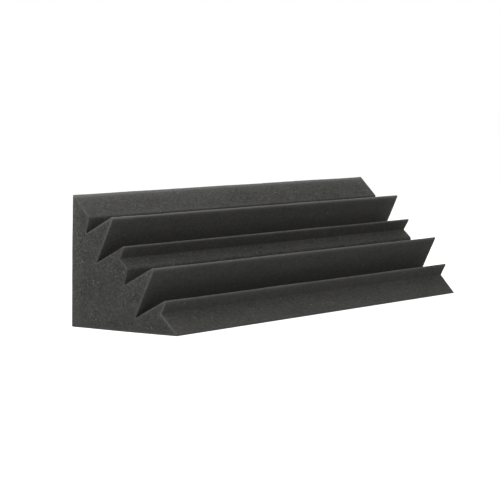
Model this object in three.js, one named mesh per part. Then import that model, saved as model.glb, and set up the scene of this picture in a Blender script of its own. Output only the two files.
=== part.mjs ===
// Corner bass trap: a long prism of acoustic foam that fills the edge where two walls meet.
// Lengths are in millimetres, with +Z up. The prism runs along X and lies on its base face.
// Its other wall face stands upright at +Y, and the wavy front looks towards -Y.
// The origin is under the middle of the whole part, on the surface that it lies on.
import * as THREE from 'three';

// Foam
const foamLength = 600;
const wallHeight = 150; // upright wall face, from the corner line to the top edge
const wallDepth = 150; // base face, from the corner line to the front edge

// Mounting tape, two strips along each wall face
const tapeWidth = 25;
const tapeThickness = 0.25;
const tapeEdgeInset = 20; // from a long edge of the wall face to the nearer edge of the tape
const tapeEndInset = 30; // from each end of the foam to the tape

// Release liner, one over each tape
const linerThickness = 0.125;
const linerTabLength = 10; // pull tab past one end of the tape

// The front's outline from the top edge to the front edge.
// Each point is a share of the wall depth, out from the upright wall face, and of the wall height.
const frontShares = [
  [0, 1], // top edge
  [0.165, 0.834], // foot of the upper sloping flat, at the lip
  [0.129, 0.709], // shallow valley
  [0.391, 0.843], // upper tall ridge
  [0.237, 0.498], // upper deep valley
  [0.511, 0.633], // upper small ridge
  [0.464, 0.54], // middle flat
  [0.537, 0.467], // end of the middle flat, at the lip
  [0.512, 0.348], // shallow valley
  [0.79, 0.484], // lower tall ridge
  [0.619, 0.108], // lower deep valley
  [0.903, 0.252], // lower small ridge
  [0.86, 0.154], // start of the lower sloping flat
  [1, 0], // front edge
];

const standOff = tapeThickness + linerThickness; // from the foam's wall faces to what they lie on
const tapeLength = foamLength - 2 * tapeEndInset;

// The line where the two wall faces meet, set so that the whole part stands over the origin
const cornerLine = new THREE.Vector3(0, (wallDepth - standOff) / 2, standOff);

// Each wall face starts at the corner line. Across runs over it to its far edge, outward leaves
// the foam square to it, and along makes a right-handed set with them.
const wallFaces = [
  {
    name: 'back',
    strips: { near: 'lower', far: 'upper' },
    width: wallHeight,
    along: new THREE.Vector3(-1, 0, 0),
    across: new THREE.Vector3(0, 0, 1),
    outward: new THREE.Vector3(0, 1, 0),
  },
  {
    name: 'base',
    strips: { near: 'rear', far: 'front' },
    width: wallDepth,
    along: new THREE.Vector3(1, 0, 0),
    across: new THREE.Vector3(0, -1, 0),
    outward: new THREE.Vector3(0, 0, -1),
  },
];

const foamMaterial = () =>
  new THREE.MeshStandardMaterial({ color: '#4a4a48', roughness: 0.97, metalness: 0 });
const tapeMaterial = () =>
  new THREE.MeshStandardMaterial({ color: '#cfc9b4', roughness: 0.4, metalness: 0 });
const linerMaterial = () =>
  new THREE.MeshStandardMaterial({ color: '#e9e6dc', roughness: 0.6, metalness: 0 });

// The absorber: the wavy outline pushed along the corner
function foamBody() {
  const outline = new THREE.Shape();
  outline.moveTo(0, 0);
  for (const [depthShare, heightShare] of frontShares) {
    outline.lineTo(wallDepth * depthShare, wallHeight * heightShare);
  }
  outline.closePath();

  const geometry = new THREE.ExtrudeGeometry(outline, { depth: foamLength, bevelEnabled: false });
  geometry.translate(0, 0, -foamLength / 2);
  const front = new THREE.Vector3(0, -1, 0);
  const up = new THREE.Vector3(0, 0, 1);
  const left = new THREE.Vector3(-1, 0, 0);
  geometry.applyMatrix4(new THREE.Matrix4().makeBasis(front, up, left));

  const mesh = new THREE.Mesh(geometry, foamMaterial());
  mesh.name = 'foam_body';
  mesh.position.copy(cornerLine);
  return mesh;
}

// A flat strip on a wall face. Its inner side is lift away from the foam, its middle is centre
// across from the corner line, and it is moved by shift along the face.
function strip(name, face, { length, shift, centre, thickness, lift, material }) {
  const geometry = new THREE.BoxGeometry(length, tapeWidth, thickness);
  geometry.translate(0, 0, thickness / 2);
  geometry.applyMatrix4(new THREE.Matrix4().makeBasis(face.along, face.across, face.outward));

  const mesh = new THREE.Mesh(geometry, material);
  mesh.name = name;
  mesh.position
    .copy(cornerLine)
    .addScaledVector(face.along, shift)
    .addScaledVector(face.across, centre)
    .addScaledVector(face.outward, lift);
  return mesh;
}

// Double-sided tape, stuck to the foam
function tape(name, face, centre) {
  return strip(name, face, {
    length: tapeLength,
    shift: 0,
    centre,
    thickness: tapeThickness,
    lift: 0,
    material: tapeMaterial(),
  });
}

// Paper liner over the tape, with its pull tab past one end
function liner(name, face, centre) {
  return strip(name, face, {
    length: tapeLength + linerTabLength,
    shift: linerTabLength / 2,
    centre,
    thickness: linerThickness,
    lift: tapeThickness,
    material: linerMaterial(),
  });
}

// Two taped strips on one wall face, one near the corner line and one near the far edge
function mountingStrips(face) {
  const group = new THREE.Group();
  const edgeToMiddle = tapeEdgeInset + tapeWidth / 2;
  const centres = { near: edgeToMiddle, far: face.width - edgeToMiddle };
  for (const [place, centre] of Object.entries(centres)) {
    const name = `${face.name}_${face.strips[place]}`;
    group.add(tape(`${name}_tape`, face, centre));
    group.add(liner(`${name}_liner`, face, centre));
  }
  return group;
}

const bassTrap = new THREE.Group();
bassTrap.add(foamBody());
for (const face of wallFaces) {
  bassTrap.add(mountingStrips(face));
}

export default bassTrap;
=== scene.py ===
import math
from typing import NamedTuple

import bmesh
import bpy
import numpy as np
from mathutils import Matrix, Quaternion, Vector, geometry, noise

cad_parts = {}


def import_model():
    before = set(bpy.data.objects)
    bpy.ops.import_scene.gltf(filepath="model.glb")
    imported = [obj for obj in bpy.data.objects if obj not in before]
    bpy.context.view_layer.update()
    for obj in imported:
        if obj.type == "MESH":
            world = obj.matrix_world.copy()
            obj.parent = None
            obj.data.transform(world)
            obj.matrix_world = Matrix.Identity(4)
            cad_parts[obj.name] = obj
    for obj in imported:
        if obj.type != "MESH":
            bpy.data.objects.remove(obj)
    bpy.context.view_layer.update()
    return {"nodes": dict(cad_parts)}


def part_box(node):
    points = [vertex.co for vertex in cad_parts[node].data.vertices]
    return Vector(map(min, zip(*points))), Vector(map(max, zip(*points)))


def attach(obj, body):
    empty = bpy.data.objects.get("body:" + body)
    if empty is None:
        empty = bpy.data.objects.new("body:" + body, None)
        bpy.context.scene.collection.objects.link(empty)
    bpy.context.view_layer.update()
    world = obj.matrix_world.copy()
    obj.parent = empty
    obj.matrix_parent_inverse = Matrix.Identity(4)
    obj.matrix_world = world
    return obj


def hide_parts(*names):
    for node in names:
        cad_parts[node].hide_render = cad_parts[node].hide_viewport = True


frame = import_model()

MM = 0.001  # in metres

# Camera, fitted to the corners of both end faces
CAMERA_PLACE = (-2.0912, -1.4653, 0.2788)
CAMERA_AZIMUTH = math.radians(-54.192)
CAMERA_ELEVATION = math.radians(4.617)
CAMERA_ROLL = math.radians(0.268)
CAMERA_LENS = 149.76
CAMERA_SENSOR = 36.0


class Corner(NamedTuple):
    """A corner of the foam's outline. Its painted light, highlight on edges and lifted shade, runs
    from 0, plain foam, to 1, the full painted-light colour.
    """

    out: float  # out from the upright wall face, as a share of the wall depth
    up: float  # as a share of the wall height
    kind: str
    edge: float  # painted highlight of its edge along the foam
    end: float  # painted highlight of an end face's edge there
    near: float = 0.0  # painted light on the long faces there at their near end
    far: float = 0.0  # and at their far end


# The front from the top edge to the front edge, as the CAD foam has it, and then the corner line
OUTLINE = [
    Corner(0.0, 1.0, "tip", 1.0, 0.36, near=0.055),
    Corner(0.165, 0.834, "brow", 0.1, 0.16, near=0.055),
    Corner(0.129, 0.709, "trough", 0.0, 0.3, far=0.06),
    Corner(0.391, 0.843, "ridge", 0.9, 0.7, far=0.1),
    Corner(0.237, 0.498, "valley", 0.0, 0.2, far=0.14),
    Corner(0.511, 0.633, "ridge", 0.27, 0.2),
    Corner(0.464, 0.54, "hollow", 0.0, 0.2),
    Corner(0.537, 0.467, "lip", 0.0, 0.18),
    Corner(0.512, 0.348, "valley", 0.0, 0.1),
    Corner(0.79, 0.484, "ridge", 0.62, 0.55),
    Corner(0.619, 0.108, "valley", 0.0, 0.2),
    Corner(0.903, 0.252, "ridge", 0.35, 0.55),
    Corner(0.86, 0.154, "hollow", 0.0, 0.55),
    Corner(1.0, 0.0, "tip", 0.06, 0.4),
    Corner(0.0, 0.0, "square", 0.17, 0.25),
]
CORNER_RADIUS = {
    "tip": 0.8 * MM,
    "brow": 3.0 * MM,
    "lip": 4.5 * MM,
    "valley": 0.4 * MM,
    "trough": 1.2 * MM,
    "ridge": 1.4 * MM,
    "hollow": 1.2 * MM,
    "square": 0.9 * MM,
}
ARC_STEPS = 5  # along the arc of a rounded corner
STEP_ROUND = 2.8 * MM  # longest step along the outline
STEP_ALONG = 3.2 * MM  # longest step along the foam

# Steps out of a rounded corner, and the share of its painted highlight that is left there
FADES = ((0.5 * MM, 0.75), (1.2 * MM, 0.4), (2.4 * MM, 0.18), (4.5 * MM, 0.05))
# The same for a tip, into the front
TIP_FADES = ((1.5 * MM, 1.0), (2.8 * MM, 0.75), (4.2 * MM, 0.26), (8 * MM, 0.12), (13 * MM, 0.04))
# The same for an end face's edge, along the foam
END_FADES = ((0.4 * MM, 0.7), (1.0 * MM, 0.25), (2.0 * MM, 0.06), (4.5 * MM, 0.0))
# The same for an end face's edge, over the end face
CAP_RINGS = ((0.9 * MM, 0.6), (2.2 * MM, 0.2))
CAP_RING_CLEAR = 0.97  # share of its inset that a ring's point has to keep from the rest of the edge
CAP_RING_GAP = 0.5  # least gap between a ring's points, as a share of its inset
CAP_STEP = 3.4 * MM  # between the spots on the rest of an end face
CAP_STRAY = 0.25  # how far those stray each way, as a share of that step
CAP_MERGE = 1e-4  # spots nearer than this, in millimetres, would be merged

# How far the painted light of the long faces at their near and far ends reaches along the foam
NEAR_REACH = 300 * MM
FAR_REACH = 220 * MM
LAST_LIGHT_PAINT = 0.22  # more painted light close to the far end, at the top and none at the bottom
LAST_REACH = 30 * MM
WALL_EDGE_LIGHT = 0.32  # painted light on an end face along the upright wall, at the top
WALL_EDGE_LIGHT_LOW = 0.4  # and the share of it at the bottom
WALL_EDGE_LIGHT_REACH = 16 * MM
WALL_LIGHT_PAINT = 0.045  # more painted light on an end face, less and less away from the upright wall
WALL_LIGHT_PAINT_REACH = 75 * MM
# Groups of specks, painted glints, on an end face: the middle, out and up, and the reach, out and
# up, as shares
SPECK_GROUPS = (
    (0.095, 0.62, 0.06, 0.17),
    (0.184, 0.353, 0.05, 0.09),
    (0.434, 0.414, 0.05, 0.05),
    (0.715, 0.40, 0.07, 0.07),
    (0.223, 0.098, 0.09, 0.04),
    (0.04, 0.82, 0.05, 0.14),
    (0.06, 0.3, 0.06, 0.14),
    (0.57, 0.31, 0.08, 0.08),
    (0.75, 0.05, 0.06, 0.03),
)

END_RADIUS = 0.5 * MM  # round edge of the two end faces
END_RINGS = 3  # steps round it
END_BULGE = 2.3 * MM  # how far the ends stand out half-way between the top and front edges
END_SAG = 2.4 * MM  # how far those two edges lie behind that
# The near end waves besides, from its top edge to its front edge and less by the upright wall: how
# far, and in shares of the wall depth where the wave starts, its length and where it is whole
SAW_WAVE = 1.05 * MM
SAW_WAVE_START = 0.1
SAW_WAVE_LENGTH = 1.9
SAW_WAVE_WHOLE = 0.3

# Unevenness of the cut foam: how far it strays, and over what distance
WAVES = ((0.30 * MM, 70 * MM), (0.14 * MM, 14 * MM), (0.08 * MM, 6 * MM))
WAVE_SHIFT = (7.3, 3.1, 5.7)  # sets each of them apart from the one before
ON_WALL = 0.1 * MM  # a point this close to a wall face belongs to it
WALL_SINK = 0.5  # share of the straying by which a wall face sinks in

LINER_STEP = 5 * MM  # along a liner
LINER_ROWS = 6  # across it
LINER_LIFT = 0.16 * MM  # how far the paper lifts off the tape at most
LINER_WAVE = 40 * MM  # and over what distance
TAB_STOPS = (0.0, 0.03, 0.08, 0.15, 0.24, 0.35, 0.48, 0.62, 0.8, 1.0)  # shares of the pull tab
TAB_CORNER = 4 * MM  # radius of a pull tab's corners
TAB_CURL = 1.6 * MM  # how far the end of a pull tab stands off
TAB_TWIST = 0.25  # how much more its upper side does, and its lower side less
PAPER_CREASE = math.radians(40)  # a sharper fold than this is shaded as an edge


def link(obj):
    bpy.context.scene.collection.objects.link(obj)
    return obj


def camera():
    data = bpy.data.cameras.new("camera")
    data.sensor_width = CAMERA_SENSOR
    data.lens = CAMERA_LENS
    look = Vector((
        -math.sin(CAMERA_AZIMUTH) * math.cos(CAMERA_ELEVATION),
        math.cos(CAMERA_AZIMUTH) * math.cos(CAMERA_ELEVATION),
        -math.sin(CAMERA_ELEVATION),
    ))
    obj = link(bpy.data.objects.new("camera", data))
    obj.rotation_mode = "QUATERNION"
    obj.rotation_quaternion = look.to_track_quat("-Z", "Y") @ Quaternion((0, 0, 1), CAMERA_ROLL)
    obj.location = CAMERA_PLACE
    bpy.context.scene.camera = obj


def closed_mesh(name, vertices, faces):
    mesh = bpy.data.meshes.new(name)
    mesh.from_pydata(vertices, [], faces)
    shell = bmesh.new()
    shell.from_mesh(mesh)
    bmesh.ops.recalc_face_normals(shell, faces=shell.faces)
    shell.to_mesh(mesh)
    shell.free()
    mesh.shade_smooth()
    return link(bpy.data.objects.new(name, mesh))


def fade(far, reach):
    """1 at no distance, 0 at reach and beyond it."""
    return np.clip(1 - far / reach, 0, 1)


# Foam shape

def outline_places(low, high):
    """The corners of the foam's outline as (y, z)."""
    depth, height = high.y - low.y, high.z - low.z
    return [Vector((high.y - depth * c.out, low.z + height * c.up)) for c in OUTLINE]


def corner_arc(corner, before, after, kind, corner_line):
    """Points round a corner, from the side of before to the side of after."""
    before = (before - corner).normalized()
    after = (after - corner).normalized()
    middle = (before + after).normalized()
    half = before.angle(after) / 2
    radius = CORNER_RADIUS[kind]
    if kind in ("ridge", "lip"):  # the crest or lip keeps its reach
        corner = corner - middle * radius * (1 / math.sin(half) - 1)
    if kind == "tip":  # the edge keeps its reach along the wall
        corner = corner + (corner - corner_line).normalized() * radius * (1 / math.tan(half) - 1)
    centre = corner + middle * radius / math.sin(half)
    reach = radius / math.tan(half)
    first = corner + before * reach - centre
    last = corner + after * reach - centre
    turn = math.atan2(first.x * last.y - first.y * last.x, first.dot(last))
    points = []
    for k in range(ARC_STEPS + 1):
        c, s = math.cos(turn * k / ARC_STEPS), math.sin(turn * k / ARC_STEPS)
        points.append(centre + Vector((first.x * c - first.y * s, first.x * s + first.y * c)))
    return points


def rounded_outline(places):
    """The outline with round corners, in steps of at most STEP_ROUND.

    With each point come the painted highlight of its edge, and the painted light that runs evenly
    from corner to corner:
    that of an end face's edge, and that of the long faces at their near and at their far end.
    """
    arcs = [
        corner_arc(place, places[i - 1], places[(i + 1) % len(places)], OUTLINE[i].kind, places[-1])
        for i, place in enumerate(places)
    ]
    points, light_paint, even_light_paint = [], [], []
    for i, arc in enumerate(arcs):
        after = (i + 1) % len(arcs)
        here, there = OUTLINE[i], OUTLINE[after]
        kinds = here.kind, there.kind
        fades = [TIP_FADES if kind == "tip" and "square" not in kinds else FADES for kind in kinds]
        even_here = np.array((here.end, here.near, here.far))
        even_there = np.array((there.end, there.near, there.far))
        points += arc
        light_paint += [here.edge] * len(arc)
        even_light_paint += [even_here] * len(arc)
        start, end = arc[-1], arcs[after][0]
        gap = (end - start).length
        way = (end - start) / gap
        low, high = fades[0][-1][0], gap - fades[1][-1][0]
        steps = max(1, math.ceil((high - low) / STEP_ROUND))
        stops = [(far, here.edge * left) for far, left in fades[0]]
        stops += [(low + (high - low) * k / steps, 0.0) for k in range(1, steps)]
        stops += [(gap - far, there.edge * left) for far, left in reversed(fades[1])]
        points += [start + way * far for far, _ in stops]
        light_paint += [painted_light for _, painted_light in stops]
        even_light_paint += [even_here + (even_there - even_here) * far / gap for far, _ in stops]
    return np.array([tuple(p) for p in points]), np.array(light_paint), *np.array(even_light_paint).T


def outward(points):
    """Unit vectors out of a closed outline."""
    way = np.roll(points, -1, axis=0) - np.roll(points, 1, axis=0)
    way /= np.linalg.norm(way, axis=1)[:, None]
    after = np.roll(points, -1, axis=0)
    area = np.sum(points[:, 0] * after[:, 1] - points[:, 1] * after[:, 0])
    return np.stack([way[:, 1], -way[:, 0]], axis=1) * np.sign(area)


def sections(low_x, high_x):
    """(x, inset, share of the end edge's painted highlight) of each outline along the foam."""
    rings = []
    for k in range(END_RINGS + 1):
        a = math.pi / 2 * (1 - k / END_RINGS)
        rings.append((END_RADIUS * (1 - math.sin(a)), END_RADIUS * (1 - math.cos(a)), 1.0))
    rings += [(END_RADIUS + far, 0.0, left) for far, left in END_FADES]
    near = [(low_x + far, inset, share) for far, inset, share in rings]
    last = [(high_x - far, inset, share) for far, inset, share in reversed(rings)]
    start, end = near[-1][0], last[0][0]
    steps = math.ceil((end - start) / STEP_ALONG)
    middle = [(start + (end - start) * k / steps, 0.0, 0.0) for k in range(1, steps)]
    return near + middle + last


def distance_inside(spots, rim):
    """How far inside a closed outline each spot is, negative outside."""
    nearest = np.full(len(spots), np.inf)
    crossings = np.zeros(len(spots), int)
    for (ax, ay), (bx, by) in zip(rim, np.roll(rim, -1, axis=0)):
        side = np.array([bx - ax, by - ay])
        from_a = spots - (ax, ay)
        share = np.clip(from_a @ side / (side @ side), 0, 1)
        nearest = np.minimum(nearest, np.linalg.norm(from_a - share[:, None] * side, axis=1))
        if ay != by:
            level = (spots[:, 1] >= min(ay, by)) & (spots[:, 1] < max(ay, by))
            crossing = ax + (spots[:, 1] - ay) * (bx - ax) / (by - ay)
            crossings += level & (crossing > spots[:, 0])
    return np.where(crossings % 2 == 1, nearest, -nearest)


def cap(rim, normals, rim_light_paint, seed):
    """Spots inside the rim of an end face, with their painted light, and triangles over rim and
    spots.
    """
    rng = np.random.default_rng(seed)
    spots, light_paint = [], []
    for inset, left in CAP_RINGS:
        ring = rim - normals * inset
        kept = []
        for k in np.flatnonzero(distance_inside(ring, rim) > inset * CAP_RING_CLEAR):
            if not kept or np.linalg.norm(ring[k] - ring[kept[-1]]) > inset * CAP_RING_GAP:
                kept.append(k)
        spots.append(ring[kept])
        light_paint += list(left * rim_light_paint[kept])
    low, high = rim.min(axis=0), rim.max(axis=0)
    across = np.arange(low[0], high[0], CAP_STEP)
    up = np.arange(low[1], high[1], CAP_STEP)
    grid = np.stack(np.meshgrid(across, up), axis=-1).reshape(-1, 2)
    grid += rng.uniform(-CAP_STRAY, CAP_STRAY, grid.shape) * CAP_STEP
    grid = grid[distance_inside(grid, rim) > CAP_RINGS[-1][0] + CAP_STEP / 2]
    spots = np.concatenate(spots + [grid])
    light_paint = np.array(light_paint + [0.0] * len(grid))

    # Painted light along the upright wall's edge of an end face, stronger at the top, and a weaker
    # band further in
    from_wall = high[0] - spots[:, 0]
    height = (spots[:, 1] - low[1]) / (high[1] - low[1])
    wall_edge_lit = WALL_EDGE_LIGHT * fade(from_wall, WALL_EDGE_LIGHT_REACH) * (WALL_EDGE_LIGHT_LOW + (1 - WALL_EDGE_LIGHT_LOW) * height)
    light_paint = np.maximum(light_paint, wall_edge_lit + WALL_LIGHT_PAINT * fade(from_wall, WALL_LIGHT_PAINT_REACH))

    flat = [Vector(p) for p in np.concatenate([rim, spots]) / MM]
    inside_only = 1
    made = geometry.delaunay_2d_cdt(flat, [], [list(range(len(rim)))], inside_only, CAP_MERGE)
    vertices, _, triangles, sources = made[:4]
    index = [source[0] for source in sources]
    assert len(vertices) == len(flat), "the end face gained or lost points"
    return spots, light_paint, [tuple(index[v] for v in triangle) for triangle in triangles]


def bow_ends(place, low, high):
    """Makes the end faces stand out, and takes what lies between them along in proportion."""
    out = (high.y - place[:, 1]) / (high.y - low.y)
    up = (place[:, 2] - low.z) / (high.z - low.z)
    sunk = END_SAG * (out - up) ** 2 - END_BULGE
    wave = SAW_WAVE * np.sin((out - up - SAW_WAVE_START) * 2 * math.pi / SAW_WAVE_LENGTH)
    wave *= np.clip(out / SAW_WAVE_WHOLE, 0, 1)
    sunk -= np.where(place[:, 0] < 0, wave, 0)
    place[:, 0] *= 1 - sunk / high.x


def uneven(mesh, low, high):
    """Moves each point along its normal, as cut foam strays. The wall faces only sink in."""
    count = len(mesh.vertices)
    place = np.empty(count * 3)
    mesh.vertices.foreach_get("co", place)
    place = place.reshape(-1, 3)
    normal = np.array([tuple(v.normal) for v in mesh.vertices])
    shift = np.zeros(count)
    for k, (size, length) in enumerate(WAVES):
        apart = Vector([step * k for step in WAVE_SHIFT])
        shift += size * np.array([noise.noise(Vector(p) / length + apart) for p in place])
    wall = (place[:, 1] > high.y - ON_WALL) | (place[:, 2] < low.z + ON_WALL)
    shift = np.where(wall, -np.abs(shift) * WALL_SINK, shift)
    place += normal * shift[:, None]
    bow_ends(place, low, high)
    mesh.vertices.foreach_set("co", place.ravel())


def specked(spots, low, high):
    """How thick the specks are at spots (y, z) of an end face."""
    out = (high.y - spots[:, 0]) / (high.y - low.y)
    up = (spots[:, 1] - low.z) / (high.z - low.z)
    most = np.zeros(len(spots))
    for at_out, at_up, reach_out, reach_up in SPECK_GROUPS:
        far = ((out - at_out) / reach_out) ** 2 + ((up - at_up) / reach_up) ** 2
        most = np.maximum(most, 1 - far)
    return most


def foam_shell(low, high):
    """The foam's vertices and faces, and for each vertex its painted light and how sawn and specked
    it is.
    """
    points, light_paint, end_light_paint, near_light_paint, far_light_paint = rounded_outline(outline_places(low, high))
    normals = outward(points)
    rows = sections(low.x, high.x)
    up = (points[:, 1] - low.z) / (high.z - low.z)
    vertices, painted_light = [], []
    for x, inset, share in rows:
        vertices += [(x, y, z) for y, z in points - normals * inset]
        # Painted light on the long faces near both ends, and at the top close to the far end
        paler = near_light_paint * fade(x - low.x, NEAR_REACH) + far_light_paint * fade(high.x - x, FAR_REACH)
        paler += LAST_LIGHT_PAINT * fade(high.x - x, LAST_REACH) * up
        painted_light += list(np.maximum(light_paint, end_light_paint * share) + paler)
    count = len(points)
    faces = []
    for a in range(0, count * (len(rows) - 1), count):
        for k in range(count):
            after = (k + 1) % count
            faces.append((a + k, a + after, a + count + after, a + count + k))

    sawn = [0.0] * len(vertices)
    specks = [0.0] * len(vertices)
    rim = points - normals * END_RADIUS
    for row, x, seed in ((0, low.x, 1), (len(rows) - 1, high.x, 2)):
        spots, spot_light_paint, triangles = cap(rim, normals, end_light_paint, seed)
        # A triangle counts the rim's points first, and then the spots
        index = list(range(row * count, (row + 1) * count))
        index += range(len(vertices), len(vertices) + len(spots))
        vertices += [(x, y, z) for y, z in spots]
        painted_light += list(spot_light_paint)
        sawn += [1.0] * len(spots)
        specks += list(specked(spots, low, high))
        faces += [tuple(index[v] for v in triangle) for triangle in triangles]
    return vertices, faces, {"painted_light": painted_light, "sawn": sawn, "specked": specks}


def foam():
    low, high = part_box("foam_body")
    vertices, faces, attributes = foam_shell(low, high)
    obj = closed_mesh("foam", vertices, faces)
    mesh = obj.data
    for name, values in attributes.items():
        mesh.attributes.new(name, "FLOAT", "POINT").data.foreach_set("value", values)
    uneven(mesh, low, high)
    mesh.materials.append(foam_material())
    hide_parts("foam_body")
    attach(obj, "root")


# Release liners

def liner(name, material):
    """The paper over a tape. On the upright wall face it is wavy and its pull tab curls away."""
    low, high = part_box(name)
    tape_low, tape_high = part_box(name.replace("liner", "tape"))
    upright = high.z - low.z > high.y - low.y
    tab_at_low, tab_at_high = tape_low.x - low.x, high.x - tape_high.x
    tab = max(tab_at_low, tab_at_high)
    length = high.x - low.x
    width = high.z - low.z if upright else high.y - low.y
    thickness = high.y - tape_high.y if upright else tape_low.z - low.z

    steps = math.ceil((length - tab) / LINER_STEP)
    stops = [tab * share for share in TAB_STOPS]
    stops += [tab + (length - tab) * k / steps for k in range(1, steps + 1)]
    skins = ([], [])
    for far in stops:
        x = low.x + far if tab_at_low > tab_at_high else high.x - far
        round_off = max(0.0, TAB_CORNER - far)
        half = width / 2 - TAB_CORNER + math.sqrt(TAB_CORNER ** 2 - round_off ** 2)
        for k in range(LINER_ROWS + 1):
            side = 2 * k / LINER_ROWS - 1
            lift = 0.0
            if upright:
                wave = noise.noise(Vector((x, half * side, low.z)) / LINER_WAVE)
                lift = LINER_LIFT * (1 + wave) / 2
                lift += TAB_CURL * fade(far, tab) ** 2 * (1 + TAB_TWIST * side)
            for skin, off in zip(skins, (lift, lift + thickness)):
                if upright:
                    skin.append((x, tape_high.y + off, (low.z + high.z) / 2 + half * side))
                else:
                    skin.append((x, (low.y + high.y) / 2 + half * side, tape_low.z - off))

    count, row = len(skins[0]), LINER_ROWS + 1
    last = len(stops) - 1
    faces = []
    for i in range(last):
        for k in range(LINER_ROWS):
            a = i * row + k
            faces.append((a, a + 1, a + row + 1, a + row))
            faces.append(tuple(v + count for v in faces[-1]))
    rim = [i * row for i in range(last)] + [last * row + k for k in range(LINER_ROWS)]
    rim += [i * row + LINER_ROWS for i in range(last, 0, -1)] + list(range(LINER_ROWS, 0, -1))
    faces += [(a, b, b + count, a + count) for a, b in zip(rim, rim[1:] + rim[:1])]

    obj = closed_mesh(name + "_paper", skins[0] + skins[1], faces)
    obj.data.set_sharp_from_angle(angle=PAPER_CREASE)
    obj.data.materials.append(material)
    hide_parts(name)
    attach(obj, "root")


# Materials

class Nodes:
    """The node tree of a material or a world, built with short calls."""

    def __init__(self, owner):
        owner.use_nodes = True
        self.tree = owner.node_tree

    def add(self, kind, sockets=(), **settings):
        node = self.tree.nodes.new(kind)
        for key, value in settings.items():
            setattr(node, key, value)
        for key, value in dict(sockets).items():
            self.set(node.inputs[key], value)
        return node

    def set(self, socket, value):
        if isinstance(value, bpy.types.NodeSocket):
            self.tree.links.new(value, socket)
        else:
            socket.default_value = value

    def math(self, operation, *values):
        return self.add("ShaderNodeMath", enumerate(values), operation=operation).outputs[0]

    def vector(self, operation, a, b):
        return self.add("ShaderNodeVectorMath", {0: a, 1: b}, operation=operation).outputs[0]

    def ramp(self, value, low, high, to_low=0.0, to_high=1.0):
        sockets = {"Value": value, "From Min": low, "From Max": high}
        sockets |= {"To Min": to_low, "To Max": to_high}
        return self.add("ShaderNodeMapRange", sockets).outputs[0]

    def mix(self, share, a, b):
        # The socket numbers are those of the share and of the two colours
        return self.add("ShaderNodeMix", {0: share, 6: a, 7: b}, data_type="RGBA").outputs[2]

    def noise(self, where, size, detail=2.0):
        sockets = {"Vector": where, "Scale": 1 / size, "Detail": detail}
        return self.add("ShaderNodeTexNoise", sockets).outputs["Fac"]

    def attribute(self, name):
        return self.add("ShaderNodeAttribute", attribute_name=name).outputs["Fac"]

    def seen(self):
        """1 for a ray from the camera, straight or by way of gloss or glass, otherwise 0."""
        path = self.add("ShaderNodeLightPath").outputs
        mirrored = self.math("MAXIMUM", path["Is Glossy Ray"], path["Is Transmission Ray"])
        return self.math("MAXIMUM", path["Is Camera Ray"], mirrored)


class Material(Nodes):
    """A material whose Principled shader gets its values by name."""

    def __init__(self, name):
        self.material = bpy.data.materials.new(name)
        super().__init__(self.material)

    def shade(self, values):
        for name, value in values.items():
            self.set(self.tree.nodes["Principled BSDF"].inputs[name], value)
        return self.material


FOAM_COLOUR = (0.0790, 0.0785, 0.0730, 1)
SAWN_COLOUR = (0.0728, 0.0728, 0.0702, 1)
# Painted light: the paler colour of painted highlights on edges and of lifted shade near the ends
PAINTED_LIGHT_COLOUR = (0.185, 0.184, 0.176, 1)
# Painted glints of cell skins
GLINT_COLOUR = (0.222, 0.222, 0.214, 1)
# Painted shade in open pores
PIT_SHADE_COLOUR = (0.030, 0.030, 0.029, 1)

# The foam's patterns, with their sizes across the foam
CELL = 1.2 * MM
FINE = 0.8 * MM
MOTTLE = 2.4 * MM
CLOUD = 14 * MM
BROAD = 60 * MM
DRAWN_OUT = 2.5  # how much longer they are along the foam
CELL_WALL = (0.1, 0.7)  # from the middle of a cell to its wall, in cells
# How much lighter or darker each one makes the foam, in shares of its colour, and the value at
# which it does neither
TONES = {
    "wall": (0.30, 0.7),
    "fine": (0.5, 0.5),
    "mottle": (0.9, 0.5),
    "cloud": (0.35, 0.5),
    "broad": (0.2, 0.5),
}
SAWN_TONES = 0.5  # how much stronger they are on a sawn end
# Patterns and specks change with height, and with slope, the upward share of the surface's normal:
# from which value to which, and their strength or number at both
TONES_BY_HEIGHT = (0.0, 150 * MM, 0.8, 1.05)
TONES_BY_SLOPE = (-0.35, -0.1, 0.72, 1.0)
SPECKS_BY_HEIGHT = (25 * MM, 45 * MM, 0.3, 1.0)
SPECKS_BY_SLOPE = (-0.35, -0.1, 0.2, 1.0)

# Specks, painted glints, and pits, painted shade
SPECK = 2.6 * MM  # room for one of them
SPECK_DRAWN_OUT = 1.5  # how much longer they are along the foam
SPECK_GROUP = 17 * MM  # size of their groups
SPECKS_BY_GROUP = (0.42, 0.62, 0.013, 0.2)  # from outside to inside a group, and the chance at both
GROUP_SHIFT = (0.57, 0.0, 0.05)  # moves the groups over the foam
SAWN_SPECKS = 0.05  # more chance on a sawn end
GROUP_SPECKS = 0.75  # and in the end's own groups
SPECK_REACH = 0.25  # least reach of a speck, as a share of its room
SPECK_MORE = 0.18  # how much greater the widest one's is
SPECK_BLUR = 0.6  # share of it that its soft edge takes
FAINTEST = 0.35  # how strongly the faintest speck shows
PITS = 0.003  # chance of a pit anywhere
PITS_BY_SPECKS = 0.5  # more chance of one, as a share of the chance of a speck

BUMP_STRENGTH = 0.5
BUMP_HEIGHT = 0.3 * MM

TAPE_FIBRE = 1.5 * MM
TAPE_COLOURS = ((0.55, 0.50, 0.38, 1), (0.7, 0.66, 0.55, 1))
PAPER_FIBRE = 0.8 * MM
PAPER_CLOUD = 25 * MM
PAPER_COLOURS = ((0.78, 0.75, 0.67, 1), (0.86, 0.83, 0.76, 1))
PAPER_FIBRE_COLOUR = (0.6, 0.56, 0.47, 1)
PAPER_FIBRE_SHARE = 0.3
PAPER_ROUGHNESS = (0.3, 0.7, 0.4, 0.6)  # from least to most fibre, and the roughness at both


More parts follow.
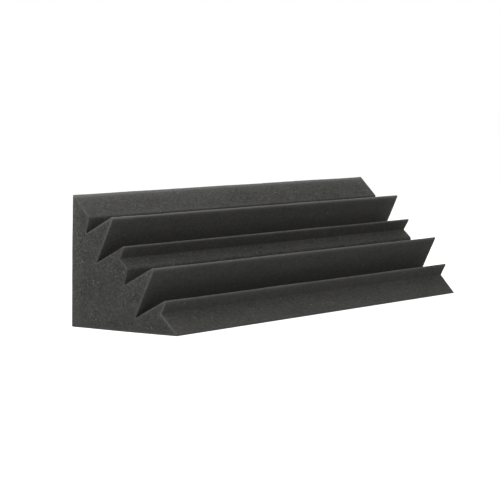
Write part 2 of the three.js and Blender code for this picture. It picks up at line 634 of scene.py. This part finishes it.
def foam_tone(n, where, wall, fine):
    """How much lighter or darker than its colour the foam is at a place."""
    patterns = {
        "wall": wall,
        "fine": fine,
        "mottle": n.noise(where, MOTTLE, detail=1.0),
        "cloud": n.noise(where, CLOUD),
        "broad": n.noise(where, BROAD),
    }
    total = 0.0
    for name, pattern in patterns.items():
        strength, middle = TONES[name]
        total = n.math("MULTIPLY_ADD", n.math("SUBTRACT", pattern, middle), strength, total)
    return total


def speckled(n, colour, place, where, height, slope, sawn):
    """The colour with painted glints where a cell's skin would shine, and painted shade in pits
    where a cell is open.

    Both lie in loose groups, and there are fewer low down and where the foam looks down.
    """
    spot_at = n.vector("MULTIPLY", place, (1 / SPECK_DRAWN_OUT, 1, 1))
    spots = n.add("ShaderNodeTexVoronoi", {"Vector": spot_at, "Scale": 1 / SPECK}).outputs
    # The texture's own colour goes with the place of the spot, so chances are drawn from it anew
    drawn = n.add("ShaderNodeTexWhiteNoise", {"Vector": spots["Color"]}).outputs["Color"]
    chance, width, strength = n.add("ShaderNodeSeparateColor", {"Color": drawn}).outputs

    grouped = n.noise(n.vector("ADD", where, GROUP_SHIFT), SPECK_GROUP, detail=1.0)
    specks = n.ramp(grouped, *SPECKS_BY_GROUP)
    specks = n.math("MULTIPLY", specks, n.ramp(height, *SPECKS_BY_HEIGHT))
    specks = n.math("MULTIPLY_ADD", sawn, SAWN_SPECKS, specks)
    specks = n.math("MULTIPLY_ADD", n.attribute("specked"), GROUP_SPECKS, specks)
    specks = n.math("MULTIPLY", specks, n.ramp(slope, *SPECKS_BY_SLOPE))

    reach = n.math("MULTIPLY_ADD", width, SPECK_MORE, SPECK_REACH)
    inside = n.math("SUBTRACT", 1.0, n.math("DIVIDE", spots["Distance"], reach))
    inside = n.ramp(inside, 0.0, SPECK_BLUR)
    shine = n.math("MULTIPLY", inside, n.ramp(strength, 0.0, 1.0, FAINTEST, 1.0))
    is_speck = n.math("LESS_THAN", chance, specks)
    # Painted glints: a paler colour where a cell's skin would catch the light
    colour = n.mix(n.math("MULTIPLY", is_speck, shine), colour, GLINT_COLOUR)
    # Painted shade: a dark colour in open pores
    unpitted = n.math("MULTIPLY_ADD", specks, -PITS_BY_SPECKS, 1 - PITS)
    is_pit = n.math("GREATER_THAN", chance, unpitted)
    return n.mix(n.math("MULTIPLY", is_pit, inside), colour, PIT_SHADE_COLOUR)


def foam_material():
    n = Material("foam")
    coordinates = n.add("ShaderNodeTexCoord").outputs
    place = coordinates["Object"]
    where = n.vector("MULTIPLY", place, (1 / DRAWN_OUT, 1, 1))
    cells = n.add("ShaderNodeTexVoronoi", {"Vector": where, "Scale": 1 / CELL})
    wall = n.ramp(cells.outputs["Distance"], *CELL_WALL)
    fine = n.noise(where, FINE, detail=3.0)
    height = n.add("ShaderNodeSeparateXYZ", {"Vector": place}).outputs["Z"]
    slope = n.add("ShaderNodeSeparateXYZ", {"Vector": coordinates["Normal"]}).outputs["Z"]

    # The patterns are stronger on a sawn end, and calmer low down and where the foam looks down
    sawn = n.attribute("sawn")
    strength = n.math("MULTIPLY_ADD", sawn, SAWN_TONES, 1.0)
    strength = n.math("MULTIPLY", strength, n.ramp(height, *TONES_BY_HEIGHT))
    strength = n.math("MULTIPLY", strength, n.ramp(slope, *TONES_BY_SLOPE))
    tone = n.math("MULTIPLY_ADD", foam_tone(n, where, wall, fine), strength, 1.0)
    plain = n.mix(sawn, FOAM_COLOUR, SAWN_COLOUR)
    scaled = n.add("ShaderNodeVectorMath", {0: plain, "Scale": tone}, operation="SCALE")
    # Painted light: highlights on edges and lifted shade near the ends, mixed in by this attribute
    colour = n.mix(n.attribute("painted_light"), scaled.outputs[0], PAINTED_LIGHT_COLOUR)

    bump = n.add("ShaderNodeBump", {"Strength": BUMP_STRENGTH, "Distance": BUMP_HEIGHT})
    n.set(bump.inputs["Height"], n.math("ADD", wall, fine))
    return n.shade({
        "Base Color": speckled(n, colour, place, where, height, slope, sawn),
        "Normal": bump.outputs[0],
        "Roughness": 1.0,
        "Specular IOR Level": 0.1,
    })


def tape_material():
    n = Material("tape")
    place = n.add("ShaderNodeTexCoord").outputs["Object"]
    fibre = n.noise(place, TAPE_FIBRE, detail=4.0)
    return n.shade({"Base Color": n.mix(fibre, *TAPE_COLOURS), "Roughness": 0.35})


def liner_material():
    n = Material("liner")
    place = n.add("ShaderNodeTexCoord").outputs["Object"]
    fibre = n.noise(place, PAPER_FIBRE, detail=5.0)
    paper = n.mix(n.noise(place, PAPER_CLOUD), *PAPER_COLOURS)
    share = n.math("MULTIPLY", fibre, PAPER_FIBRE_SHARE)
    return n.shade({
        "Base Color": n.mix(share, paper, PAPER_FIBRE_COLOUR),
        "Roughness": n.ramp(fibre, *PAPER_ROUGHNESS),
    })


# Stage

# Each lamp's name, place, size and power. All are aimed at the middle of the part.
LAMPS = [
    ("top", (-0.5, 0.15, 1.2), (1.2, 0.6), 1.4),
    ("top_back", (-0.4, 0.5, 1.0), (1.2, 0.5), 6.7),
    ("top_right", (1.2, 0.3, 1.3), (1.0, 0.8), 7.9),
    ("front_high", (-1.7, -1.3, 1.5), (1.0, 1.0), 12.2),
    ("front_low", (-0.4, -2.2, 0.35), (2.4, 0.5), 2.55),
    ("right", (1.6, -2.2, 1.3), (1.4, 1.4), 13.2),
    ("left", (-1.3, -0.2, 0.9), (0.6, 0.6), 5.0),
]
LAMP_AIM = (0, 0, 0.08)
WHITE = (1, 1, 1, 1)
WORLD_LEVEL = 0.075  # even light from all round
FLOOR_SIZE = 40.0
FLOOR_COLOUR = (0.55, 0.55, 0.55, 1)
FLOOR_GLOW = 0.96  # its light towards the camera


def lamps():
    for name, place, size, power in LAMPS:
        data = bpy.data.lights.new(name, "AREA")
        data.shape = "RECTANGLE"
        data.size, data.size_y = size
        data.energy = power
        obj = link(bpy.data.objects.new(name, data))
        obj.location = place
        obj.rotation_mode = "QUATERNION"
        obj.rotation_quaternion = (Vector(LAMP_AIM) - Vector(place)).to_track_quat("-Z", "Y")


def world():
    """White where the camera sees it, and a weak even light otherwise."""
    made = bpy.data.worlds.new("studio")
    bpy.context.scene.world = made
    n = Nodes(made)
    back = n.tree.nodes["Background"].inputs
    n.set(back["Color"], WHITE)
    n.set(back["Strength"], n.ramp(n.seen(), 0.0, 1.0, WORLD_LEVEL, 1.0))


def floor():
    """A pale floor that looks white to the camera."""
    half = FLOOR_SIZE / 2
    corners = [(-half, -half, 0), (half, -half, 0), (half, half, 0), (-half, half, 0)]
    mesh = bpy.data.meshes.new("floor")
    mesh.from_pydata(corners, [], [(0, 1, 2, 3)])
    obj = link(bpy.data.objects.new("floor", mesh))
    n = Material("floor")
    mesh.materials.append(n.shade({
        "Base Color": FLOOR_COLOUR,
        "Roughness": 1.0,
        "Specular IOR Level": 0.0,
        "Emission Color": WHITE,
        "Emission Strength": n.math("MULTIPLY", n.seen(), FLOOR_GLOW),
    }))


def main():
    bpy.context.scene.view_settings.view_transform = "Standard"
    camera()
    foam()
    tacky, paper = tape_material(), liner_material()
    for name, obj in frame["nodes"].items():
        if name.endswith("tape"):
            obj.data.materials.clear()
            obj.data.materials.append(tacky)
        if name.endswith("liner"):
            liner(name, paper)
    floor()
    world()
    lamps()


main()
